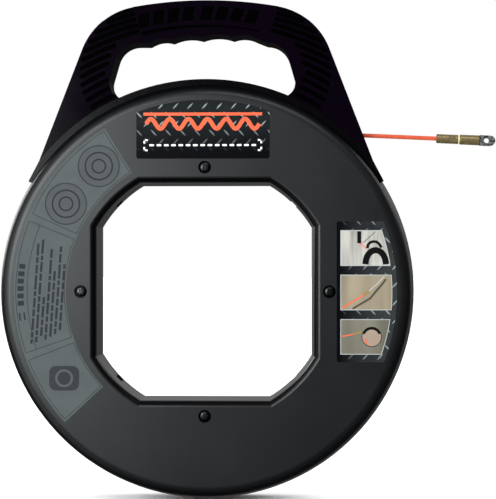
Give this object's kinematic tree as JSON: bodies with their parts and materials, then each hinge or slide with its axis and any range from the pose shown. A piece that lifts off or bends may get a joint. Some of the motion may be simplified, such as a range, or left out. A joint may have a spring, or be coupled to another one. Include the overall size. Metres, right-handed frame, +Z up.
{
  "type": "fish tape reel",
  "caption": "Fish tape reel: donut-shaped case that turns inside a carrying handle, with a flat orange tape that slides out of the handle and ends in a brass sleeve and a steel eye.",
  "frame": {"origin": "centre of the grip, where the hand holds the handle; the reel's axis is 200 mm below it", "axes": "+Z up, -Y towards the front face with the labels, +X to the side that the tape leaves"},
  "size_m": [0.3648, 0.0502, 0.3655],
  "materials": {
    "case_plastic": "satin black moulded plastic",
    "handle_plastic": "semi-gloss black moulded plastic",
    "rail_plastic": "semi-gloss black slide plastic",
    "tape_orange": "smooth orange-red coated tape",
    "brass": "dull tarnished brass",
    "bright_metal": "bright plated metal",
    "steel": "worn dark steel",
    "screw_black": "black oxide",
    "label_dark": "printed vinyl",
    "label_grey": "satin grey vinyl"
  },
  "bodies": {
    "handle": {"handle_front": "handle_plastic", "handle_rear": "handle_plastic", "handle_screws": "screw_black", "saddle_rail": "rail_plastic", "exit_guide": "rail_plastic"},
    "reel": {"front_case": "case_plastic", "rear_case": "case_plastic", "case_screws": "screw_black", "case_inserts": "brass", "tape_coil": "tape_orange", "tape_anchor_clip": "steel", "tape_anchor_screw": "steel", "top_label": "label_dark", "picture_label": "label_dark", "side_label": "label_grey"},
    "tape": {"tape_leader": "tape_orange", "crimp_ferrule": "brass", "joining_stud": "bright_metal", "threaded_coupler": "brass", "eyelet": "steel"}
  },
  "joints": [
    {"name": "reel_spin", "type": "hinge", "parent": "handle", "child": "reel", "pos_m": [0, 0, -0.2], "axis": [0, 1, 0], "continuous": true},
    {"name": "tape_feed", "type": "slide", "parent": "handle", "child": "tape", "axis": [0.999, 0, -0.0454], "range_m": [-0.05, 0.1]}
  ]
}
